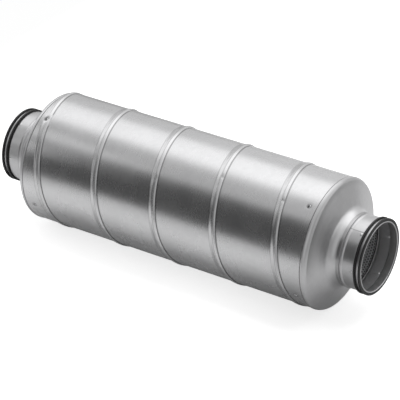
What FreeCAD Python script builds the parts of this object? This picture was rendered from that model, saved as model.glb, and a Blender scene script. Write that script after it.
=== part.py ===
import FreeCAD, Part
import math
import os

# Circular duct sound attenuator. All sizes are in millimetres.
# The duct axis is X, Z is up, and the origin is on the axis at mid length.
# The two ends are alike: an end piece is drawn once, for the end at +X, and
# its pair is the same piece turned half a turn about Z.

# Outer casing, wound from one strip with a folded lock seam on its outside
casing_radius = 112.5
casing_wall = 0.6
casing_length = 555.2
seam_pitch = 118.9
seam_width = 13.5
seam_height = 2.0
seam_ramp = 3.8
seam_fold = 1.6
seam_start_angle = 79.0

# Spun end caps, one in each end of the casing
cap_wall = 0.7
cap_skirt = 32.0
cap_step = 0.7
cap_step_length = 1.1
cap_shoulder_bend = 9.0
cap_face_angle = 68.0
cap_neck_bend = 16.0
cap_neck_lip = 4.4
bend_chords = 2

# Collars that plug into the duct, with a bead, a seal seat and a turned-in rim
collar_radius = 62.0
collar_wall = 0.6
collar_tail = 14.0
collar_reach = 40.0
bead_width = 6.4
bead_height = 1.3
bead_crown = 2.4
seat_length = 13.4
seat_depth = 0.8
seat_ramp = 0.8
rim_depth = 3.0

# Nibs that stop the duct's end behind the seal
stop_count = 6
stop_length = 5.0
stop_width = 3.4
stop_height = 0.9
stop_gap = 0.9
stop_first_angle = 2.4

# Rubber seals with two lips that lean back, and the steel bands round them
seal_base = 0.7
seal_front_gap = 0.3
lip_height = 3.0
lip_land = 2.6
lip_root = 2.8
lip_lean = 0.4
lip_spacing = 8.6
band_wall = 0.4

# Inner tube, whose openings stand wider apart than the fine perforation
tube_wall = 0.6
opening_width = 9.0
opening_rings = 5
openings_round = 6
opening_ring_spacing = 110.0

# Absorber between the inner tube and the casing
fleece_wall = 0.9
wool_clearance = 0.3

# Clearance between pieces that touch
slip = 0.1

# Radii that the pieces share
casing_bore = casing_radius - casing_wall
skirt_radius = casing_bore - slip
shoulder_radius = casing_radius + cap_step
neck_radius = collar_radius + slip + cap_wall
seat_radius = collar_radius - seat_depth
seal_bore = seat_radius + slip
seal_top = seal_bore + seal_base
lip_radius = collar_radius + lip_height
band_bore = seal_top + slip
tube_radius = collar_radius - collar_wall - slip
fleece_bore = tube_radius + slip
fleece_radius = fleece_bore + fleece_wall
wool_bore = fleece_radius + slip

# Places along the axis that the pieces share, from the casing's end outwards
face_turn = math.radians(cap_face_angle)
bends = cap_shoulder_bend + cap_neck_bend
face_drop = shoulder_radius - neck_radius - bends * (1 - math.cos(face_turn))
face_length = face_drop / math.sin(face_turn)
casing_end = casing_length / 2
shoulder_start = casing_end + cap_step_length
face_run = bends * math.sin(face_turn) + face_length * math.cos(face_turn)
neck_start = shoulder_start + face_run
neck_end = neck_start + cap_neck_lip
tail_end = neck_start - collar_tail
bead_start = neck_end + slip
bead_end = bead_start + bead_width
rim_face = neck_end + collar_reach
seat_start = rim_face - seat_length
front_root = rim_face - seal_front_gap
rear_root = front_root - lip_spacing

origin = FreeCAD.Vector(0, 0, 0)
duct_axis = FreeCAD.Vector(1, 0, 0)
up = FreeCAD.Vector(0, 0, 1)


def point(along, out):
    return FreeCAD.Vector(along, out, 0)


def bend(along, out, radius, start, end):
    # Points round a bend of the sheet, as a few chords.
    points = []
    for step in range(bend_chords + 1):
        turn = math.radians(start + (end - start) * step / bend_chords)
        points.append(point(along + radius * math.cos(turn), out + radius * math.sin(turn)))
    return points


def revolved(face, degrees=360):
    return face.revolve(origin, duct_axis, degrees)


def ring(outline):
    return revolved(Part.Face(Part.makePolygon(outline + outline[:1])))


def tube(start, end, outer, inner):
    return ring([point(start, inner), point(end, inner), point(end, outer), point(start, outer)])


def sheet(outside, wall):
    # Sheet metal of one thickness, drawn by the line of its outside.
    return revolved(Part.makePolygon(outside).makeOffset2D(wall, 2, True, True))


def pair(piece):
    other = piece.copy()
    other.rotate(origin, up, 180)
    return Part.makeCompound([piece, other])


def lock_seam():
    # The fold is swept past both ends of the casing, then cut to its length.
    root = casing_radius - casing_wall / 2
    crest = casing_radius + seam_height
    half = seam_width / 2
    # Both flanks run on down into the wall, as far as its middle.
    sunk = (casing_radius - root) / seam_height
    outline = [
        (root, -half - seam_ramp * sunk),
        (crest, -half + seam_ramp),
        (crest, half - seam_fold),
        (root, half + seam_fold * sunk),
    ]
    outline.append(outline[0])
    section = Part.makePolygon([FreeCAD.Vector(out, 0, along) for out, along in outline])
    sweep_length = casing_length + 2 * seam_pitch
    helix = Part.makeLongHelix(seam_pitch, sweep_length, casing_radius, 0, False)
    sweep = Part.BRepOffsetAPI.MakePipeShell(helix)
    sweep.setFrenetMode(True)
    sweep.add(section)
    sweep.build()
    sweep.makeSolid()
    seam = sweep.shape()
    seam.translate(up * (-sweep_length / 2))
    # The helix starts on its own X axis, which comes to rest at -Z.
    seam.rotate(origin, FreeCAD.Vector(0, 1, 0), 90)
    seam.rotate(origin, duct_axis, seam_start_angle + 90)
    room = tube(-casing_end, casing_end, crest + slip, root - slip)
    return seam.common(room)


def outer_casing():
    return tube(-casing_end, casing_end, casing_radius, casing_bore).fuse(lock_seam())


def end_cap():
    outside = [
        point(casing_end - cap_skirt, skirt_radius),
        point(casing_end, skirt_radius),
    ]
    outside += bend(shoulder_start, shoulder_radius - cap_shoulder_bend, cap_shoulder_bend,
                    90, 90 - cap_face_angle)
    outside += bend(neck_start, neck_radius + cap_neck_bend, cap_neck_bend,
                    270 - cap_face_angle, 270)
    outside.append(point(neck_end, neck_radius))
    return sheet(outside, cap_wall)


def stop(degrees):
    end = seat_start - seat_ramp - stop_gap
    root = collar_radius - collar_wall / 2
    outline = [
        point(end - stop_width, root),
        point(end - stop_width, collar_radius),
        point(end, collar_radius + stop_height),
        point(end, root),
        point(end - stop_width, root),
    ]
    turn = math.degrees(stop_length / collar_radius)
    nib = revolved(Part.Face(Part.makePolygon(outline)), turn)
    nib.rotate(origin, duct_axis, degrees - turn / 2)
    return nib


def collar():
    flank = (bead_width - bead_crown) / 2
    body = sheet([
        point(tail_end, collar_radius),
        point(bead_start, collar_radius),
        point(bead_start + flank, collar_radius + bead_height),
        point(bead_end - flank, collar_radius + bead_height),
        point(bead_end, collar_radius),
        point(seat_start - seat_ramp, collar_radius),
        point(seat_start, seat_radius),
        point(rim_face, seat_radius),
        point(rim_face, seat_radius - rim_depth),
    ], collar_wall)
    turns = [stop_first_angle + number * 360 / stop_count for number in range(stop_count)]
    return body.fuse([stop(turn) for turn in turns])


def lip(root):
    # A lip's rear root, the two corners of its crest, and its front root.
    rear = root - lip_root
    return [
        point(rear, seal_top),
        point(rear - lip_lean, lip_radius),
        point(rear - lip_lean + lip_land, lip_radius),
        point(root, seal_top),
    ]


def lip_seal():
    foot = point(seat_start + slip, seal_bore)
    toe = point(front_root, seal_bore)
    return ring([foot] + lip(rear_root) + lip(front_root) + [toe])


def seal_band():
    # The band fills the room between the two lips.
    end = front_root - lip_root - slip
    return tube(rear_root + slip, end, band_bore + band_wall, band_bore)


def perforated_tube():
    end = bead_start - slip
    wall = tube(-end, end, tube_radius, tube_radius - tube_wall)
    cuts = []
    for row in range(opening_rings):
        place = (row - (opening_rings - 1) / 2) * opening_ring_spacing
        for number in range(openings_round):
            corner = FreeCAD.Vector(place - opening_width / 2, -opening_width / 2, 0)
            cut = Part.makeBox(opening_width, opening_width, collar_radius, corner)
            # Every other ring of openings is turned by half a step.
            step = number + row % 2 / 2
            cut.rotate(origin, duct_axis, step * 360 / openings_round)
            cuts.append(cut)
    return wall.cut(cuts)


def fleece_sleeve():
    end = tail_end - slip
    return tube(-end, end, fleece_radius, fleece_bore)


def mineral_wool():
    # The batt fills the casing as far as the sloping faces of the caps.
    gap = cap_wall + wool_clearance
    inset = cap_shoulder_bend - gap
    face_top = point(shoulder_start + inset * math.sin(face_turn),
                     shoulder_radius - cap_shoulder_bend + inset * math.cos(face_turn))
    side = skirt_radius - gap
    slope = (face_top.y - wool_bore) / math.tan(face_turn)
    end = [
        point(casing_end, side),
        face_top,
        point(face_top.x + slope, wool_bore),
    ]
    other_end = [point(-place.x, place.y) for place in reversed(end)]
    return ring(end + other_end)


pieces = {
    "outer_casing": outer_casing(),
    "end_caps": pair(end_cap()),
    "collars": pair(collar()),
    "lip_seals": pair(lip_seal()),
    "seal_bands": pair(seal_band()),
    "perforated_tube": perforated_tube(),
    "fleece_sleeve": fleece_sleeve(),
    "mineral_wool": mineral_wool(),
}

os.makedirs("parts", exist_ok=True)
for name, shape in pieces.items():
    shape.exportStep(f"parts/{name}.step")
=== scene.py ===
import math
import bmesh
import bpy
from mathutils import Matrix, Vector


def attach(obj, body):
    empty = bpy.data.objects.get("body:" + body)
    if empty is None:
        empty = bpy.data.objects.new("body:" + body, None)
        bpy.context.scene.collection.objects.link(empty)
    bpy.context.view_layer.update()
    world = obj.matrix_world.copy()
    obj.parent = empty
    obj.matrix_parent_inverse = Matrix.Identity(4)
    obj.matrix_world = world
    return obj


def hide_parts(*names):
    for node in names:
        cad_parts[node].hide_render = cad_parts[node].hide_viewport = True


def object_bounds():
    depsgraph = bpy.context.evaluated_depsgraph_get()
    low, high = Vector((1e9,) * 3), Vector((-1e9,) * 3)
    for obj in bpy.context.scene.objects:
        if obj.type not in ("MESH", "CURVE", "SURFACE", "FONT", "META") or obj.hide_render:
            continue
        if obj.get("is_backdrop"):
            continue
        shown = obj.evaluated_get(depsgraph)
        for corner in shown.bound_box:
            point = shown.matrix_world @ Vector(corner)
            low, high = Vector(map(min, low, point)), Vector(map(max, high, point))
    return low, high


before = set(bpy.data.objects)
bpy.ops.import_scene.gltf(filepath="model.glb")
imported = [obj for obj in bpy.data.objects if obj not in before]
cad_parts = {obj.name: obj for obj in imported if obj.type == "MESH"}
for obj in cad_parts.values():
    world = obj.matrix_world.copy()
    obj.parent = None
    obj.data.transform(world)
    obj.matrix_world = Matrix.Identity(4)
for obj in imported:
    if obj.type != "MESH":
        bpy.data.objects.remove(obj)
cad_low, cad_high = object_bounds()
scene = bpy.context.scene
scene.view_settings.view_transform = "Standard"

# The photographer's camera stands in front of the right-hand end and looks
# down on the attenuator through a long lens.
camera_place = (1.94614, -2.89716, 1.89855)
camera_elevation = math.radians(28.596)
camera_azimuth = math.radians(33.727)
lens_length_mm = 211.86
film_width_mm = 36
lens = bpy.data.cameras.new("long_lens")
lens.lens = lens_length_mm
lens.sensor_width = film_width_mm
lens.clip_start = 0.1
lens.clip_end = 60
camera = bpy.data.objects.new("camera", lens)
camera.location = camera_place
camera.rotation_euler = (math.pi / 2 - camera_elevation, 0, camera_azimuth)
scene.collection.objects.link(camera)
scene.camera = camera

# The studio's room, which the steel mirrors as a ring of walls about the X
# axis. It is bright overhead, and dark on the camera's side, which gives the
# steel its dark band. The camera itself sees plain white behind the object.
room = bpy.data.worlds.new("studio")
scene.world = room
room.use_nodes = True
tree = room.node_tree
nodes, links = tree.nodes, tree.links
nodes.clear()
# Brightness of the walls by degrees about X, from +Y over the top. The casing
# mirrors the side walls, and the slopes of an end mirror the end walls.
side_walls = [
    (-180, 0.08), (-120, 0.5), (-30, 0.79), (0, 0.79), (36, 0.84), (44, 1.42), (62, 1.55),
    (82, 1.6), (94, 0.74), (108, 0.62), (122, 0.7), (132, 0.13), (142, 0.08), (180, 0.08),
]
end_walls = [
    (-180, 0.55), (-60, 0.55), (-20, 0.6), (0, 0.64), (24, 0.8), (38, 1.55), (70, 1.45),
    (96, 0.95), (120, 0.62), (180, 0.55),
]
# By how far along X the steel looks, from -1 to 1: a gap in the dark wall that
# the flanks of the seam see, and how much of its light the room has that way.
dark_wall_gap = [(-1, 0.06), (-0.8, 0.07), (-0.7, 0.1), (-0.62, 0.04), (-0.58, 0)]
room_dimming = [
    (-1, 0.84), (-0.7, 0.84), (-0.57, 0.7), (-0.46, 1), (0.45, 1), (0.9, 0.6), (1, 0.6),
]
side_walls_end = -0.3
end_walls_start = 0.25


def worked_out(tree, operation, *terms):
    # A sum on nodes. Each term is a number, or what another node puts out.
    node = tree.nodes.new("ShaderNodeMath")
    node.operation = operation
    for socket, term in zip(node.inputs, terms):
        if isinstance(term, bpy.types.NodeSocket):
            tree.links.new(term, socket)
        else:
            socket.default_value = term
    return node.outputs[0]


def ranged(tree, value, start, end, first=0, last=1):
    # Values from start to end become values from first to last.
    node = tree.nodes.new("ShaderNodeMapRange")
    node.inputs["From Min"].default_value = start
    node.inputs["From Max"].default_value = end
    node.inputs["To Min"].default_value = first
    node.inputs["To Max"].default_value = last
    tree.links.new(value, node.inputs["Value"])
    return node.outputs[0]


def ring_of(walls, direction, reach):
    # The walls' brightness, with places from -reach to reach along the ring.
    ring = nodes.new("ShaderNodeValToRGB")
    stops = ring.color_ramp.elements
    while len(stops) > 1:
        stops.remove(stops[0])
    for number, (place, level) in enumerate(walls):
        share = (place + reach) / (2 * reach)
        stop = stops[0] if number == 0 else stops.new(share)
        stop.position = share
        stop.color = (level, level, level, 1)
    links.new(direction, ring.inputs["Fac"])
    return ring.outputs["Color"]


looks = nodes.new("ShaderNodeSeparateXYZ")
links.new(nodes.new("ShaderNodeTexCoord").outputs["Generated"], looks.inputs[0])
turn = worked_out(tree, "ARCTAN2", looks.outputs["Z"], looks.outputs["Y"])
round_axis = ranged(tree, turn, -math.pi, math.pi)
along_axis = ranged(tree, looks.outputs["X"], -1, 1)
side_ring = worked_out(tree, "MAXIMUM", ring_of(side_walls, round_axis, 180),
                       ring_of(dark_wall_gap, along_axis, 1))
walls_meet = nodes.new("ShaderNodeMix")
links.new(ranged(tree, looks.outputs["X"], side_walls_end, end_walls_start),
          walls_meet.inputs["Factor"])
links.new(side_ring, walls_meet.inputs["A"])
links.new(ring_of(end_walls, round_axis, 180), walls_meet.inputs["B"])
room_level = worked_out(tree, "MULTIPLY", walls_meet.outputs["Result"],
                        ring_of(room_dimming, along_axis, 1))
mirrored = nodes.new("ShaderNodeBackground")
mirrored.inputs["Color"].default_value = (1, 1, 1, 1)
links.new(room_level, mirrored.inputs["Strength"])
white = nodes.new("ShaderNodeBackground")
white.inputs["Color"].default_value = (1, 1, 1, 1)
ray = nodes.new("ShaderNodeLightPath")
seen = nodes.new("ShaderNodeMixShader")
links.new(ray.outputs["Is Camera Ray"], seen.inputs["Fac"])
links.new(mirrored.outputs[0], seen.inputs[1])
links.new(white.outputs[0], seen.inputs[2])
links.new(seen.outputs[0], nodes.new("ShaderNodeOutputWorld").inputs["Surface"])

# The table under the attenuator is a wide sheet of white paper. It is white to
# the camera, apart from the shadow, and greyer where the steel mirrors it.
table_front = -0.78
table_back = 3.0
table_half_width = 3.0
table_glow = 0.74
table_glow_in_metal = 0.06
# Painted shade: the paper is coloured darker towards the front and towards the
# ends, where the steel mirrors it. Each fade runs along an axis from one place
# to another, between two greys.
painted_table_fades = [
    ("Y", -0.68, -0.24, 0.4, 0.64), ("X", -0.8, -0.4, 0.3, 1),
    ("X", 0.1, 0.24, 1, 0.72), ("X", 0.5, 0.9, 1, 0.6),
]
table_corners = [
    (-table_half_width, table_front), (table_half_width, table_front),
    (table_half_width, table_back), (-table_half_width, table_back),
]
table_mesh = bpy.data.meshes.new("paper_table")
table_mesh.from_pydata([(x, y, cad_low.z) for x, y in table_corners], [], [(0, 1, 2, 3)])
table = bpy.data.objects.new("paper_table", table_mesh)
scene.collection.objects.link(table)
paper = bpy.data.materials.new("white_paper")
paper.use_nodes = True
tree = paper.node_tree
nodes, links = tree.nodes, tree.links
matt = nodes["Principled BSDF"]
matt.inputs["Roughness"].default_value = 0.9
matt.inputs["Specular IOR Level"].default_value = 0.1
spot = nodes.new("ShaderNodeSeparateXYZ")
links.new(nodes.new("ShaderNodeTexCoord").outputs["Object"], spot.inputs[0])
grey = 1
for axis, start, end, first, last in painted_table_fades:
    fade = ranged(tree, spot.outputs[axis], start, end, first, last)
    grey = worked_out(tree, "MULTIPLY", fade, grey)
links.new(grey, matt.inputs["Base Color"])
ray = nodes.new("ShaderNodeLightPath")
in_metal = worked_out(tree, "MAXIMUM", ray.outputs["Is Glossy Ray"],
                      ray.outputs["Is Transmission Ray"])
glow_in_metal = worked_out(tree, "MULTIPLY", in_metal, table_glow_in_metal)
glow = nodes.new("ShaderNodeEmission")
links.new(worked_out(tree, "MULTIPLY_ADD", ray.outputs["Is Camera Ray"], table_glow,
                     glow_in_metal), glow.inputs["Strength"])
both = nodes.new("ShaderNodeAddShader")
links.new(matt.outputs[0], both.inputs[0])
links.new(glow.outputs[0], both.inputs[1])
links.new(both.outputs[0], nodes["Material Output"].inputs["Surface"])
table_mesh.materials.append(paper)
table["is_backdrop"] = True


# A softbox hangs over the table, and two small pale cards stand by the back
# end. They lighten the end of the casing's dark band, and the back collar.
def light_panel(name, width, height, power, place):
    panel = bpy.data.lights.new(name, "AREA")
    panel.shape = "RECTANGLE"
    panel.size = width
    panel.size_y = height
    panel.energy = power
    stand = bpy.data.objects.new(name, panel)
    stand.location = place
    scene.collection.objects.link(stand)
    return stand


softbox = light_panel("softbox", 3.0, 1.5, 40, (0.2, 0.5, 2.4))
softbox.rotation_euler = (math.radians(-12), 0, 0)
softbox.visible_glossy = False
cards = [
    ("large_card", 0.3, 0.45, 0.13, (-0.6, -0.42, 0.42), (-0.24, -0.09, 0.06)),
    ("small_card", 0.14, 0.26, 0.045, (-0.5, -0.28, 0.1), (-0.335, -0.055, 0.02)),
]
for name, width, height, power, place, aim in cards:
    card = light_panel(name, width, height, power, place)
    card.rotation_euler = (Vector(aim) - Vector(place)).to_track_quat("-Z", "Y").to_euler()

# Outer casing: galvanised strip wound into a tube, its edges folded together
# in a lock seam that stands out as a ridge. A soft flank rises on one side
# and the folded edge drops steeply on the other. The rivets dish it a little.
casing_radius = 0.1125
casing_wall = 0.0006
casing_end = 0.2776
seam_pitch = 0.1189
seam_width = 0.0135
seam_start = math.radians(79)
# The seam's section: distance from the foot of the fold, and height.
seam_profile = [
    (-0.0152, 0.0), (-0.0145, 0.0), (-0.0138, 0.0), (-0.0128, 0.00008), (-0.0116, 0.00034),
    (-0.0102, 0.0008), (-0.0088, 0.00126), (-0.0075, 0.0016), (-0.0066, 0.00176),
    (-0.0060, 0.00176), (-0.0057, 0.0016), (-0.0054, 0.00162), (-0.0050, 0.00192),
    (-0.0045, 0.002), (-0.0036, 0.0019), (-0.0024, 0.00158), (-0.0012, 0.0012),
    (-0.0006, 0.00092), (-0.0003, 0.0007), (-0.0002, 0.0002), (-0.0001, 0.0),
    (0.0016, 0.0), (0.0021, 0.0),
]
flank_foot = -0.0142
seam_crease = -0.0057
# The band of painted shade along the fold's foot.
foot_shade_start = -0.00035
foot_shade_end = 0.002
crest_start = -0.0055
crest_end = -0.0004
# The fold is crimped at a few places: the turn of the seam, and degrees.
seam_crimps = [(2, 140.0), (3, 121.6), (4, 126.0)]
crimp_reach = 0.0016
crimp_depth = 0.6
wave_height = 0.00004
# Width of the painted shade along the casing's front end, at the cap's step.
edge_shade_width = 0.0006
head_radius = 0.0033
dish_depth = 0.0005
dish_radius = 0.0043
dish_flattening = 0.8
dish_end = 0.014
fine_mesh_end = 0.013
fine_mesh_cuts = 5
rivet_ring_width = 0.0009
plain_columns = 11
steps_round = 192
turns_behind = 1.2
turns_ahead = 0.3
# Each rivet's place along the axis, and its degrees round the casing.
rivet_places = [
    (0.2633, 124.2), (0.2631, 209.7), (0.2635, 302), (0.2633, 33),
    (-0.2658, 119.7), (-0.261, 203.5), (-0.2633, 295), (-0.2633, 28),
]
rivet_spots = [(rivet_x, math.radians(degrees)) for rivet_x, degrees in rivet_places]


def rivet_gap(along, angle):
    # Distance over the casing to the nearest rivet.
    gaps = []
    for rivet_x, rivet_angle in rivet_spots:
        across = (angle - rivet_angle + math.pi) % math.tau - math.pi
        gaps.append(math.hypot(along - rivet_x, across * casing_radius))
    return min(gaps)


def is_near_rivet(face):
    # Whether a face is in a rivet's dish, where the mesh has to be finer.
    middle = face.calc_center_median()
    return rivet_gap(middle.x, math.atan2(middle.z, middle.y)) < fine_mesh_end


def seam_painted_shade(offset, angle):
    # Painted shade lies along the fold's foot, darkest on the underside, and
    # faintly along the flank's foot and the crease.
    if foot_shade_start < offset < foot_shade_end:
        return 0.54 - 0.13 * math.sin(angle)
    if abs(offset - seam_crease) < 0.0004:
        return 0.35
    return 0.25 * (abs(offset - flank_foot) < 0.0005)


def on_casing(along, angle, height):
    # The strip's surface at a place, with slight waves.
    radius = casing_radius + height
    wave = math.sin(along * 71 + 1.3 * math.sin(angle * 2)) * math.sin(angle * 3 + along * 19)
    radius += wave_height * wave * (height < 1e-6)
    return (along, radius * math.cos(angle), radius * math.sin(angle))


def store_dirt_and_painted_light(mesh, amounts):
    # How dark each point is, with dirt and painted shade. Below 0, a painted highlight brightens
    # the zinc.
    dirt_and_painted_light = mesh.attributes.new("dirt_and_painted_light", "FLOAT", "POINT")
    dirt_and_painted_light.data.foreach_set("value", amounts)


columns = list(seam_profile)
plain_start = seam_profile[-1][0]
plain_width = seam_pitch - plain_start + seam_profile[0][0]
for number in range(1, plain_columns + 1):
    columns.append((plain_start + plain_width * number / (plain_columns + 1), 0.0))
seam_foot = -casing_end + seam_width / 2
# The strip is wound past both ends, and the tube is then cut to its length.
first_step = -int(turns_behind * steps_round)
last_step = int((2 * casing_end / seam_pitch + turns_ahead) * steps_round)
points, faces, dirt_and_painted_light = [], [], []
for step in range(first_step, last_step + steps_round + 1):
    angle = seam_start + step / steps_round * math.tau
    foot = seam_foot + seam_pitch * step / steps_round
    for offset, height in columns:
        pressed = 0
        for seam_turn, degrees in seam_crimps:
            gap = (angle - math.radians(degrees) - seam_turn * math.tau) * casing_radius
            pressed += math.exp(-(gap / crimp_reach) ** 2) * (offset > crest_start)
        height *= 1 - crimp_depth * pressed
        points.append(on_casing(foot + offset, angle % math.tau, height))
        # Painted shade along the seam's fold, crease and flank foot, and in each crimp's dent.
        dirt_and_painted_light.append(max(seam_painted_shade(offset, angle), 0.5 * pressed * (offset < crest_end)))
width = len(columns)
for step in range(last_step - first_step):
    for column in range(width):
        after = step + 1
        here, there = step * width + column, after * width + column
        if column + 1 < width:
            faces.append((here, there, there + 1, here + 1))
        else:
            # The strip's last column joins the seam of the next turn.
            nearer, further = (step + steps_round) * width, (after + steps_round) * width
            if further < len(points):
                faces.append((here, there, further, nearer))
casing_mesh = bpy.data.meshes.new("outer_casing")
casing_mesh.from_pydata(points, [], faces)
store_dirt_and_painted_light(casing_mesh, dirt_and_painted_light)
sheet = bmesh.new()
sheet.from_mesh(casing_mesh)
loose = [corner for corner in sheet.verts if not corner.link_faces]
bmesh.ops.delete(sheet, geom=loose, context="VERTS")
for end in (-1, 1):
    for inset, cut_off in ((0, True), (edge_shade_width, False), (2 * edge_shade_width, False)):
        bmesh.ops.bisect_plane(sheet, geom=sheet.verts[:] + sheet.edges[:] + sheet.faces[:],
                               plane_co=(end * (casing_end - inset), 0, 0),
                               plane_no=(end, 0, 0), clear_outer=cut_off)
near_rivet = [face for face in sheet.faces if is_near_rivet(face)]
fine_edges = dict.fromkeys(edge for face in near_rivet for edge in face.edges)
bmesh.ops.subdivide_edges(sheet, edges=list(fine_edges), cuts=fine_mesh_cuts,
                          use_grid_fill=True)
darkening = sheet.verts.layers.float["dirt_and_painted_light"]
for corner in sheet.verts:
    along, across, up = corner.co
    out = math.hypot(across, up)
    gap = rivet_gap(along, math.atan2(up, across))
    if gap < dish_end:
        # The sheet is drawn down under the rivet's head.
        press = math.exp(-(gap / dish_radius) ** 2)
        sunk = ((out - casing_radius) * dish_flattening + dish_depth) * press
        corner.co.y -= sunk * across / out
        corner.co.z -= sunk * up / out
        # A ring of painted shade where the rivet's head meets the dish.
        corner[darkening] = 0.6 * math.exp(-((gap - head_radius) / rivet_ring_width) ** 2)
    # Painted shade along the casing's front end, against the cap's step.
    if along > casing_end - 1.5 * edge_shade_width:
        corner[darkening] = 0.55
sheet.to_mesh(casing_mesh)
sheet.free()

# The zinc coating, which the other steel pieces have too: a faint cloud of
# zinc grains, and the fine lines that the rolls or the spinning tool leave.
lines_per_metre = 900
line_drift = 14
full_darkening = 0.85
blue_of_zinc = 1.012
zinc = bpy.data.node_groups.new("zinc_coating", "ShaderNodeTree")
for label in ("Lines", "Place"):
    zinc.interface.new_socket(label, in_out="INPUT", socket_type="NodeSocketVector")
for label, level in (("Grey", 0.62), ("Gloss roughness", 0.3), ("Line depth", 0.5), ("Painted_light_and_dirt", 0)):
    socket = zinc.interface.new_socket(label, in_out="INPUT", socket_type="NodeSocketFloat")
    socket.default_value = level
for label, kind in (("Colour", "NodeSocketColor"), ("Roughness", "NodeSocketFloat"),
                    ("Height", "NodeSocketFloat")):
    zinc.interface.new_socket(label, in_out="OUTPUT", socket_type=kind)
nodes, links = zinc.nodes, zinc.links
given = nodes.new("NodeGroupInput")
made = nodes.new("NodeGroupOutput")
grains = nodes.new("ShaderNodeTexVoronoi")
grains.inputs["Scale"].default_value = 140
links.new(given.outputs["Place"], grains.inputs["Vector"])
grain_grey = nodes.new("ShaderNodeSeparateColor")
links.new(grains.outputs["Color"], grain_grey.inputs[0])
clouds = nodes.new("ShaderNodeTexNoise")
clouds.inputs["Scale"].default_value = 22
clouds.inputs["Detail"].default_value = 4
links.new(given.outputs["Place"], clouds.inputs["Vector"])
rolled = nodes.new("ShaderNodeTexNoise")
rolled.inputs["Scale"].default_value = 1
rolled.inputs["Detail"].default_value = 3
links.new(given.outputs["Lines"], rolled.inputs["Vector"])


def varied(value, patterns):
    # Each pattern from 0 to 1 moves the value up and down by half its amount.
    for pattern, amount in patterns:
        shift = worked_out(zinc, "MULTIPLY_ADD", pattern, amount, -amount / 2)
        value = worked_out(zinc, "ADD", value, shift)
    return value


grey = varied(given.outputs["Grey"], [(grain_grey.outputs[0], 0.025),
                                      (clouds.outputs["Fac"], 0.07),
                                      (rolled.outputs["Fac"], 0.03)])
# Dirt and painted shade darken the zinc, and below 0 painted highlights brighten it.
clean = worked_out(zinc, "MULTIPLY_ADD", given.outputs["Painted_light_and_dirt"], -full_darkening, 1)
grey = worked_out(zinc, "MULTIPLY", grey, clean)
tint = nodes.new("ShaderNodeCombineColor")
links.new(grey, tint.inputs["Red"])
links.new(grey, tint.inputs["Green"])
links.new(worked_out(zinc, "MULTIPLY", grey, blue_of_zinc), tint.inputs["Blue"])
links.new(tint.outputs[0], made.inputs["Colour"])
rough = varied(given.outputs["Gloss roughness"], [(clouds.outputs["Fac"], 0.1),
                                                  (rolled.outputs["Fac"], 0.03)])
links.new(rough, made.inputs["Roughness"])
line_height = worked_out(zinc, "MULTIPLY", rolled.outputs["Fac"], given.outputs["Line depth"])
links.new(line_height, made.inputs["Height"])


def zinc_steel(name, spun, grey_level, roughness, line_depth, metallic=1):
    # Rolled strip has lines round the axis. A spun piece has them too, and
    # they also follow its radius.
    material = bpy.data.materials.new(name)
    material.use_nodes = True
    tree = material.node_tree
    nodes, links = tree.nodes, tree.links
    steel = nodes["Principled BSDF"]
    steel.inputs["Metallic"].default_value = metallic
    place = nodes.new("ShaderNodeTexCoord")
    spot = nodes.new("ShaderNodeSeparateXYZ")
    links.new(place.outputs["Object"], spot.inputs[0])
    across = nodes.new("ShaderNodeCombineXYZ")
    links.new(spot.outputs["Y"], across.inputs["Y"])
    links.new(spot.outputs["Z"], across.inputs["Z"])
    radius = nodes.new("ShaderNodeVectorMath")
    radius.operation = "LENGTH"
    links.new(across.outputs[0], radius.inputs[0])
    outward = worked_out(tree, "MULTIPLY", radius.outputs["Value"],
                         lines_per_metre if spun else 0)
    lines = nodes.new("ShaderNodeCombineXYZ")
    links.new(worked_out(tree, "MULTIPLY_ADD", spot.outputs["X"], lines_per_metre, outward),
              lines.inputs["X"])
    for axis in ("Y", "Z"):
        links.new(worked_out(tree, "MULTIPLY", spot.outputs[axis], line_drift),
                  lines.inputs[axis])
    coat = nodes.new("ShaderNodeGroup")
    coat.node_tree = zinc
    coat.inputs["Grey"].default_value = grey_level
    coat.inputs["Gloss roughness"].default_value = roughness
    coat.inputs["Line depth"].default_value = line_depth
    links.new(lines.outputs[0], coat.inputs["Lines"])
    links.new(place.outputs["Object"], coat.inputs["Place"])
    dirt_and_painted_light = nodes.new("ShaderNodeAttribute")
    dirt_and_painted_light.attribute_name = "dirt_and_painted_light"
    links.new(dirt_and_painted_light.outputs["Fac"], coat.inputs["Painted_light_and_dirt"])
    links.new(coat.outputs["Colour"], steel.inputs["Base Color"])
    links.new(coat.outputs["Roughness"], steel.inputs["Roughness"])
    bump = nodes.new("ShaderNodeBump")
    bump.inputs["Strength"].default_value = 0.1
    bump.inputs["Distance"].default_value = 0.0004
    links.new(coat.outputs["Height"], bump.inputs["Height"])
    links.new(bump.outputs[0], steel.inputs["Normal"])
    return material


def finished(name, mesh, material, node):
    # Smooth mesh in the scene, with its edges kept sharp, riding on the attenuator.
    mesh.update()
    mesh.shade_smooth()
    mesh.set_sharp_from_angle(angle=math.radians(35))
    mesh.materials.append(material)
    piece = bpy.data.objects.new(name, mesh)
    scene.collection.objects.link(piece)
    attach(piece, "root")
    if node:
        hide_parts(node)
    return piece


casing_steel = zinc_steel("casing_steel", False, 0.64, 0.27, 0.6)
casing = finished("outer_casing_strip", casing_mesh, casing_steel, "outer_casing")
wall = casing.modifiers.new("wall", "SOLIDIFY")
wall.thickness = casing_wall
wall.offset = -1

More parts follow.
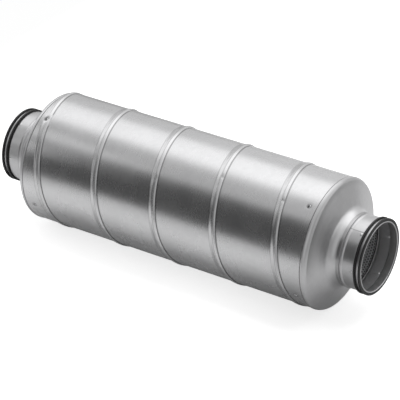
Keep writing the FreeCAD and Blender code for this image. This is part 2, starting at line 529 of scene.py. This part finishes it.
# End caps: each is spun from one disc of galvanised sheet. A skirt sits in
# the casing, a step covers the casing's edge, and a sloping face runs down to
# the neck that holds the collar.
cap_wall = 0.0007
cap_skirt = 0.032
skirt_radius = 0.1118
shoulder_radius = 0.1132
shoulder_start = casing_end + 0.0011
shoulder_bend = 0.009
face_degrees = 68
face_angle = math.radians(face_degrees)
face_points = 24
ring_height = 0.00003
neck_bend = 0.016
neck_radius = 0.0628
neck_lip = 0.0044
bends = shoulder_bend + neck_bend
face_drop = shoulder_radius - neck_radius - bends * (1 - math.cos(face_angle))
face_length = face_drop / math.sin(face_angle)
neck_start = shoulder_start + bends * math.sin(face_angle) + face_length * math.cos(face_angle)
neck_end = neck_start + neck_lip
# Where painted shade dims the cap, as turns round the axis in radians.
shaded_top = 1.75
shaded_side = 2.72
shaded_half_width = 0.0055
shaded_face_start = 0.0086


def bend(along, out, radius, start, end, steps):
    # Points round a bend of the sheet, its angles in degrees from the axis.
    places = []
    for number in range(steps + 1):
        turn = math.radians(start + (end - start) * number / steps)
        places.append((along + radius * math.cos(turn), out + radius * math.sin(turn)))
    return places


def sheet_section(outside, thickness):
    # Closed section of a sheet, from the line of its outside and its thickness.
    sharpest_bend = 0.35
    inside = []
    for number, (along, out) in enumerate(outside):
        before = outside[max(number - 1, 0)]
        after = outside[min(number + 1, len(outside) - 1)]
        lean = Vector((0, 0))
        for first, second in ((before, (along, out)), ((along, out), after)):
            run = Vector(second) - Vector(first)
            if run.length > 1e-9:
                lean += Vector((run.y, -run.x)).normalized()
        count = 2 if before != (along, out) and after != (along, out) else 1
        inward = lean / count
        inward /= max(inward.length_squared, sharpest_bend)
        inside.append((along + inward.x * thickness, out + inward.y * thickness))
    return outside + inside[::-1]


def even_turns(steps):
    return [step / steps * math.tau for step in range(steps)]


def revolved(name, section, turns, lift=None, darkening=None):
    # A closed section, whose points lie along and out from the duct's axis, is
    # turned round it.
    # The lift moves a place in or out. The darkening, dirt and painted shade, darkens it, and
    # below 0 a painted highlight brightens it.
    points, faces, dirt_and_painted_light = [], [], []
    size = len(section)
    for angle in turns:
        for number, (along, out) in enumerate(section):
            height = out + (lift(along, angle) if lift else 0)
            points.append((along, height * math.cos(angle), height * math.sin(angle)))
            dirt_and_painted_light.append(darkening(number, along, angle) if darkening else 0)
    for step in range(len(turns)):
        here, there = step * size, (step + 1) % len(turns) * size
        for number in range(size):
            after = (number + 1) % size
            faces.append((here + number, here + after, there + after, there + number))
    mesh = bpy.data.meshes.new(name)
    mesh.from_pydata(points, [], faces)
    store_dirt_and_painted_light(mesh, dirt_and_painted_light)
    return mesh


def other_end(mesh, name, darkening_share=1):
    # The same piece for the back end, turned half round, often with less dirt and painted shade.
    turned = mesh.copy()
    turned.name = name
    turned.transform(Matrix.Rotation(math.pi, 4, "Z"))
    for entry in turned.attributes["dirt_and_painted_light"].data:
        entry.value *= darkening_share
    return turned


cap_outside = [
    (casing_end - cap_skirt, skirt_radius), (casing_end - 0.0004, skirt_radius),
    (casing_end + 0.0005, skirt_radius), (casing_end + 0.0006, skirt_radius + 0.0003),
    (casing_end + 0.0007, shoulder_radius - 0.0004),
    (casing_end + 0.0009, shoulder_radius - 0.0001),
]
step_points = len(cap_outside) - 1
cap_outside += bend(shoulder_start, shoulder_radius - shoulder_bend, shoulder_bend,
                    90, 90 - face_degrees, 20)
neck_curve = bend(neck_start, neck_radius + neck_bend, neck_bend, 270 - face_degrees, 270, 20)
face_top, face_foot = cap_outside[-1], neck_curve[0]
for number in range(1, face_points):
    # The spinning tool leaves slight rings on the face.
    share = number / face_points
    ring = ring_height * math.sin(share * 22) * math.sin(share * math.pi)
    cap_outside.append((face_top[0] + (face_foot[0] - face_top[0]) * share + ring,
                        face_top[1] + (face_foot[1] - face_top[1]) * share))
cap_outside += neck_curve
cap_outside += [
    (neck_end - 0.0008, neck_radius), (neck_end - 0.0004, neck_radius - 0.00008),
    (neck_end - 0.0001, neck_radius - 0.00025), (neck_end, neck_radius - 0.0005),
]


def cap_painted_shade(number, along, angle):
    # Painted shade darkens the step against the casing and the neck, and dims the
    # shoulder on top and the face beside it, on the camera's side.
    if number < step_points:
        return 0.85
    if along > neck_start - 0.001:
        return 0.34
    on_top = max(0, math.cos(min(math.pi / 2, 1.8 * abs(angle - shaded_top))))
    off_middle = abs(along - shoulder_start - shaded_half_width) / shaded_half_width
    shoulder = 0.48 * on_top * max(0, 1 - off_middle)
    beside = math.exp(-((angle - shaded_side) / 0.5) ** 4)
    inward = along - shoulder_start - shaded_face_start
    return shoulder + 0.6 * beside * (inward > 0) * math.exp(-abs(inward) / 0.006)


cap_steel = zinc_steel("cap_steel", True, 0.64, 0.3, 0.6)
cap_section = sheet_section(cap_outside, cap_wall)
cap_mesh = revolved("front_end_cap", cap_section, even_turns(220), darkening=cap_painted_shade)
# The back cap has less of the painted shade.
back_cap_mesh = other_end(cap_mesh, "back_end_cap", 0.3)
finished("front_end_cap", cap_mesh, cap_steel, "end_caps")
finished("back_end_cap", back_cap_mesh, cap_steel, "end_caps")

# Collars: each is rolled from a strip, welded along one line and beaded. Its
# rim is curled in, and small nibs pressed out of it stop the duct's end just
# behind the seal. Painted highlights brighten the bead and the nibs.
collar_radius = 0.062
collar_wall = 0.0006
tail_end = neck_start - 0.014
bead_start = neck_end + 0.0001
bead_width = 0.0064
bead_height = 0.0013
bead_points = 16
bead_end = bead_start + bead_width
rim_face = neck_end + 0.04
seat_radius = collar_radius - 0.0008
seat_start = rim_face - 0.0134
curl_radius = 0.0011
rim_radius = seat_radius - 0.003 + curl_radius
nib_count = 6
nib_end = seat_start - 0.0012
nib_length = 0.0042
nib_width = 0.005
nib_height = 0.0009
nib_points = 12
first_nib = math.radians(2.4)
nib_turns = [first_nib + number * math.tau / nib_count for number in range(nib_count)]
collar_weld = math.radians(118)
rim_joint = math.radians(302.5)
joint_width = 0.003
joint_gap = 0.0005
weld_height = 0.00012
weld_width = 0.0006
weld_dirt_width = 0.0008
# Painted shadow inside the collar, at the bead's groove where the tube ends.
tube_shadow_start = bead_start - 0.001
tube_shadow_end = bead_start + 0.0018
collar_outside = [(tail_end, collar_radius), (bead_start - 0.0002, collar_radius)]
for number in range(bead_points + 1):
    share = number / bead_points
    rise = bead_height * math.sin(math.pi * share) ** 0.8
    collar_outside.append((bead_start + bead_width * share, collar_radius + rise))
for number in range(nib_points + 1):
    collar_outside.append((nib_end + (number / nib_points - 1) * nib_length, collar_radius))
collar_outside += [
    (seat_start - 0.0009, collar_radius), (seat_start - 0.0006, collar_radius - 0.0002),
    (seat_start, seat_radius), (rim_face - 0.003, seat_radius),
    (rim_face - 0.0022, seat_radius - 0.0002),
]
collar_outside += bend(rim_face - curl_radius, rim_radius, curl_radius, 70, -150, 14)
# The mesh is finer where a nib or a joint is.
fine_places = [(turn, nib_width) for turn in nib_turns]
fine_places += [(collar_weld, joint_width), (rim_joint, joint_width)]
collar_turns = even_turns(200)
for turn, width in fine_places:
    fine = [turn + (step / 10 - 0.5) * width * 1.1 / collar_radius for step in range(11)]
    collar_turns = [angle for angle in collar_turns if not fine[0] < angle < fine[-1]] + fine
collar_turns = sorted(angle % math.tau for angle in collar_turns)


def gap_to(angle, turn):
    # Distance round the collar from a line on it.
    return abs((angle - turn + math.pi) % math.tau - math.pi) * collar_radius


def pressed_out(along, angle):
    # The weld stands out slightly. A nib rises slowly towards the seal and
    # drops steeply there.
    height = weld_height * math.exp(-(gap_to(angle, collar_weld) / weld_width) ** 2)
    share = (along - nib_end) / nib_length + 1
    if 0 < share <= 1:
        for turn in nib_turns:
            side = max(0, 1 - 2 * gap_to(angle, turn) / nib_width)
            height += nib_height * math.sin(math.pi * share ** 1.5) * math.sin(side * math.pi / 2)
    return height


def collar_dirt_and_painted_light(number, along, angle):
    # Inside, painted shadow darkens the bead's groove where the tube ends, and painted
    # shade the inner wall near the rim. Outside, the rim's joint is dark, the weld is
    # dull, and painted highlights brighten the bead and the nibs.
    inside = number >= len(collar_outside)
    if inside and tube_shadow_start < along < bead_end + 0.0006:
        return 1.1 if along < tube_shadow_end else 0.15
    if inside:
        # Painted shade on the inner wall near the rim.
        return 0.5 * (along > seat_start - 0.002) * (along < rim_face - 0.004)
    if along > rim_face - 0.003 and gap_to(angle, rim_joint) < joint_gap:
        return 0.9
    # Painted highlights brighten the bead and the nibs.
    painted_highlight = 0.06 * (bead_start + 0.001 < along < bead_end - 0.0006)
    if pressed_out(along, angle) > 0.0004:
        painted_highlight = 0.5
    return 0.45 * math.exp(-(gap_to(angle, collar_weld) / weld_dirt_width) ** 2) - painted_highlight


collar_steel = zinc_steel("collar_steel", True, 0.57, 0.33, 0.5)
collar_inside = zinc_steel("dull_collar_inside", True, 0.62, 0.45, 0.3, 0.88)
collar_section = sheet_section(collar_outside, collar_wall)
collar_mesh = revolved("front_collar", collar_section, collar_turns, pressed_out, collar_dirt_and_painted_light)
for face in collar_mesh.polygons:
    row = min(corner % len(collar_section) for corner in face.vertices)
    face.material_index = int(row >= len(collar_outside))
back_collar_mesh = other_end(collar_mesh, "back_collar")
finished("front_collar", collar_mesh, collar_steel, "collars")
finished("back_collar", back_collar_mesh, collar_steel, "collars")
collar_mesh.materials.append(collar_inside)
back_collar_mesh.materials.append(collar_inside)

# Lip seals: black rubber strip in the collar's seat. Two thick lips stand up
# from it and lean back a little, so that the duct slides on and seals.
seal_bore = seat_radius + 0.0001
seal_top = seal_bore + 0.0007
lip_radius = 0.065
front_root = rim_face - 0.0003
lip_spacing = 0.0086
lip_root = 0.0028
rear_root = front_root - lip_spacing
seal_section = [
    (seat_start + 0.0001, seal_bore), (seat_start + 0.0004, seal_top - 0.0001),
    (seat_start + 0.0008, seal_top),
]
for root in (rear_root, front_root):
    back = root - lip_root
    seal_section += [
        (back - 0.0003, seal_top), (back - 0.0001, seal_top + 0.0003),
        (back - 0.0002, seal_top + 0.0014), (back - 0.0004, lip_radius - 0.0006),
        (back - 0.00035, lip_radius - 0.0002), (back - 0.0001, lip_radius),
        (back + 0.0012, lip_radius - 0.0001), (back + 0.0023, lip_radius),
        (back + 0.0026, lip_radius - 0.0003), (root - 0.0001, seal_top + 0.0012),
        (root, seal_top + 0.0003), (root, seal_top),
    ]
seal_section += [
    (front_root, seal_bore - 0.0006), (front_root - 0.0012, seal_bore - 0.0002),
    (front_root - 0.0026, seal_bore),
]
rubber = bpy.data.materials.new("seal_rubber")
rubber.use_nodes = True
tree = rubber.node_tree
nodes, links = tree.nodes, tree.links
skin = nodes["Principled BSDF"]
skin.inputs["Specular IOR Level"].default_value = 0.4
bloom = nodes.new("ShaderNodeTexNoise")
bloom.inputs["Scale"].default_value = 90
bloom.inputs["Detail"].default_value = 5
links.new(nodes.new("ShaderNodeTexCoord").outputs["Object"], bloom.inputs["Vector"])
black = nodes.new("ShaderNodeValToRGB")
black.color_ramp.elements[0].color = (0.008, 0.008, 0.008, 1)
black.color_ramp.elements[1].color = (0.022, 0.022, 0.023, 1)
links.new(bloom.outputs["Fac"], black.inputs["Fac"])
links.new(black.outputs["Color"], skin.inputs["Base Color"])
links.new(ranged(tree, bloom.outputs["Fac"], 0, 1, 0.42, 0.6), skin.inputs["Roughness"])
pores = nodes.new("ShaderNodeBump")
pores.inputs["Strength"].default_value = 0.2
pores.inputs["Distance"].default_value = 0.0002
links.new(bloom.outputs["Fac"], pores.inputs["Height"])
links.new(pores.outputs[0], skin.inputs["Normal"])
seal_mesh = revolved("front_lip_seal", seal_section, even_turns(200))
back_seal_mesh = other_end(seal_mesh, "back_lip_seal")
finished("front_lip_seal", seal_mesh, rubber, "lip_seals")
finished("back_lip_seal", back_seal_mesh, rubber, "lip_seals")

# Seal bands: a bright steel strip lies round each seal, in the room between
# its two lips, and clamps the rubber on the collar.
band_start = rear_root + 0.0001
band_end = front_root - lip_root - 0.0001
band_bore = seal_top + 0.0001
band_top = band_bore + 0.0004
band_section = [
    (band_start, band_bore), (band_start, band_top - 0.0001), (band_start + 0.0002, band_top),
    (band_end - 0.0002, band_top), (band_end, band_top - 0.0001), (band_end, band_bore),
]
band_steel = zinc_steel("band_steel", False, 0.52, 0.32, 0.3)
band_mesh = revolved("front_seal_band", band_section, even_turns(200))
back_band_mesh = other_end(band_mesh, "back_seal_band")
finished("front_seal_band", band_mesh, band_steel, "seal_bands")
finished("back_seal_band", back_band_mesh, band_steel, "seal_bands")

# Perforated inner tube: thin galvanised sheet with small round holes all over
# lets the sound into the absorber. Its ends slide into the collars' tails,
# where painted shadow darkens them.
tube_radius = 0.0613
tube_end = bead_start - 0.0001
holes_round = 78
hole_rings = 148
hole_radius = 0.0015
hole_sides = 6
cell_length = 2 * tube_end / hole_rings
half_cell_turn = math.pi / holes_round
cell_corners = [(-0.5, -1), (-0.5, 0), (-0.5, 1), (0.5, 1), (0.5, 0), (0.5, -1)]
points, faces = [], []
for ring in range(hole_rings):
    middle = -tube_end + (ring + 0.5) * cell_length
    for number in range(holes_round):
        turn = (number + ring % 2 / 2) / holes_round * math.tau
        outline = []
        for along, across in cell_corners:
            outline.append((middle + along * cell_length, turn + across * half_cell_turn))
        for side in range(hole_sides):
            angle = math.radians(210 - side * 60)
            outline.append((middle + hole_radius * math.cos(angle),
                            turn + hole_radius * math.sin(angle) / tube_radius))
        first = len(points)
        for along, angle in outline:
            points.append((along, tube_radius * math.cos(angle), tube_radius * math.sin(angle)))
        for side in range(hole_sides):
            after = (side + 1) % hole_sides
            faces.append((first + side, first + after,
                          first + hole_sides + after, first + hole_sides + side))
tube_mesh = bpy.data.meshes.new("perforated_tube")
tube_mesh.from_pydata(points, [], faces)


def welded(mesh, distance):
    # Joins the points of a mesh that are in one place, and turns its faces out.
    weld = bmesh.new()
    weld.from_mesh(mesh)
    bmesh.ops.remove_doubles(weld, verts=weld.verts, dist=distance)
    bmesh.ops.recalc_face_normals(weld, faces=weld.faces)
    weld.to_mesh(mesh)
    weld.free()


welded(tube_mesh, 1e-6)
# Painted shadow darkens the tube's ends inside the collars.
store_dirt_and_painted_light(tube_mesh, [1.1 * (abs(point.co.x) > tube_end - 0.0005) for point in tube_mesh.vertices])
tube_steel = zinc_steel("tube_steel", False, 0.8, 0.5, 0.4, 0.82)
finished("perforated_inner_tube", tube_mesh, tube_steel, "perforated_tube")

# Fleece sleeve: black glass fleece, wrapped round the tube so that the air
# doesn't carry fibres of the absorber away.
fleece_inner = tube_radius + 0.0001
fleece_outer = fleece_inner + 0.0009
fleece_end = tail_end - 0.0001
fleece_rows = 60
fleece_puff = 0.0002
fleece_section = [(-fleece_end, fleece_inner)]
for number in range(fleece_rows + 1):
    along = -fleece_end + 2 * fleece_end * number / fleece_rows
    puff = fleece_puff * math.sin(number * 1.9)
    fleece_section.append((along, fleece_outer - fleece_puff + puff))
fleece_section.append((fleece_end, fleece_inner))
fleece = bpy.data.materials.new("fleece")
fleece.use_nodes = True
nodes, links = fleece.node_tree.nodes, fleece.node_tree.links
cloth = nodes["Principled BSDF"]
cloth.inputs["Roughness"].default_value = 0.95
cloth.inputs["Specular IOR Level"].default_value = 0.15
fibres = nodes.new("ShaderNodeTexNoise")
fibres.inputs["Scale"].default_value = 700
fibres.inputs["Detail"].default_value = 6
links.new(nodes.new("ShaderNodeTexCoord").outputs["Object"], fibres.inputs["Vector"])
shade = nodes.new("ShaderNodeValToRGB")
shade.color_ramp.elements[0].color = (0.02, 0.02, 0.02, 1)
shade.color_ramp.elements[1].color = (0.09, 0.09, 0.085, 1)
links.new(fibres.outputs["Fac"], shade.inputs["Fac"])
links.new(shade.outputs["Color"], cloth.inputs["Base Color"])
fuzz = nodes.new("ShaderNodeBump")
fuzz.inputs["Strength"].default_value = 0.5
fuzz.inputs["Distance"].default_value = 0.0003
links.new(fibres.outputs["Fac"], fuzz.inputs["Height"])
links.new(fuzz.outputs[0], cloth.inputs["Normal"])
fleece_mesh = revolved("fleece_wrap", fleece_section, even_turns(96))
finished("fleece_wrap", fleece_mesh, fleece, "fleece_sleeve")

# Mineral wool: a thick batt of stone fibre fills the room between the fleece
# and the casing, and soaks up the sound. The closed casing hides it.
wool_bore = fleece_outer + 0.0003
wool_side = 0.1106
wool_rows = 40
wool_puff = 0.0006
wool_inset = shoulder_bend - 0.0011
slope_top = (shoulder_start + wool_inset * math.sin(face_angle),
             shoulder_radius - shoulder_bend + wool_inset * math.cos(face_angle))
slope_run = (slope_top[1] - wool_bore) / math.tan(face_angle)
slope_foot = (slope_top[0] + slope_run, wool_bore)
half_section = [(casing_end, wool_side), slope_top, slope_foot]
wool_section = [(-along, out) for along, out in half_section[::-1]]
for number in range(1, wool_rows):
    along = -casing_end + 2 * casing_end * number / wool_rows
    puff = wool_puff * math.sin(number * 2.3)
    wool_section.append((along, wool_side - 0.0007 + puff))
wool_section += half_section
wool = bpy.data.materials.new("wool")
wool.use_nodes = True
nodes, links = wool.node_tree.nodes, wool.node_tree.links
felt = nodes["Principled BSDF"]
felt.inputs["Roughness"].default_value = 1.0
strands = nodes.new("ShaderNodeTexNoise")
strands.inputs["Scale"].default_value = 260
strands.inputs["Detail"].default_value = 8
strands.inputs["Distortion"].default_value = 1.5
links.new(nodes.new("ShaderNodeTexCoord").outputs["Object"], strands.inputs["Vector"])
shade = nodes.new("ShaderNodeValToRGB")
shade.color_ramp.elements[0].color = (0.42, 0.33, 0.15, 1)
shade.color_ramp.elements[1].color = (0.72, 0.62, 0.36, 1)
links.new(strands.outputs["Fac"], shade.inputs["Fac"])
links.new(shade.outputs["Color"], felt.inputs["Base Color"])
fuzz = nodes.new("ShaderNodeBump")
fuzz.inputs["Strength"].default_value = 0.8
fuzz.inputs["Distance"].default_value = 0.001
links.new(strands.outputs["Fac"], fuzz.inputs["Height"])
links.new(fuzz.outputs[0], felt.inputs["Normal"])
wool_mesh = revolved("wool_batt", wool_section, even_turns(120))
finished("wool_batt", wool_mesh, wool, "mineral_wool")

# Blind rivets: four at each end hold the cap's skirt in the casing. Each has
# a low domed head, with the broken stem sunk in its middle. The socket over
# the stem is coloured near-black: painted shade in the hollow.
head_height = 0.0016
head_points = 8
socket_radius = 0.0017
socket_floor = 0.0003
shank_radius = 0.0016
shank_length = 0.0034
head_sink = 0.0004
rivet_steps = 28
dome_radius = (head_radius ** 2 + head_height ** 2) / (2 * head_height)
head_section = [
    (0.0, socket_floor), (socket_radius * 0.85, socket_floor), (socket_radius, 0.0007),
]
for number in range(head_points + 1):
    reach = socket_radius + (head_radius - socket_radius) * number / head_points
    dome = math.sqrt(dome_radius ** 2 - reach ** 2) - dome_radius + head_height
    head_section.append((reach, dome))
head_section += [
    (head_radius - 0.0001, -0.0002), (shank_radius, -0.0002), (shank_radius, -shank_length),
    (0.0, -shank_length),
]
rivet_steel = zinc_steel("rivet_steel", False, 0.5, 0.2, 0.1)
# Near-black socket: painted shade in the hollow over the stem.
socket_painted_shade = zinc_steel("socket_painted_shade", False, 0.1, 0.45, 0.1)
for number, (rivet_x, rivet_angle) in enumerate(rivet_spots):
    points, faces = [], []
    size = len(head_section)
    for step in range(rivet_steps):
        angle = step / rivet_steps * math.tau
        for out, high in head_section:
            points.append((out * math.cos(angle), out * math.sin(angle), high))
        here, there = step * size, (step + 1) % rivet_steps * size
        for row in range(size - 1):
            faces.append((here + row, there + row, there + row + 1, here + row + 1))
    name = f"rivet_{number + 1}"
    rivet_mesh = bpy.data.meshes.new(name)
    rivet_mesh.from_pydata(points, [], faces)
    welded(rivet_mesh, 1e-7)
    seat = Matrix.Translation((rivet_x, 0, 0)) @ Matrix.Rotation(rivet_angle - math.pi / 2, 4, "X")
    rivet_mesh.transform(seat @ Matrix.Translation((0, 0, casing_radius - head_sink)))
    finished(name, rivet_mesh, rivet_steel, None)
    rivet_mesh.materials.append(socket_painted_shade)
    for face in rivet_mesh.polygons:
        offset = seat.inverted() @ face.center
        if math.hypot(offset.x, offset.y) < socket_radius * 0.9:
            face.material_index = 1

low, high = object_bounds()
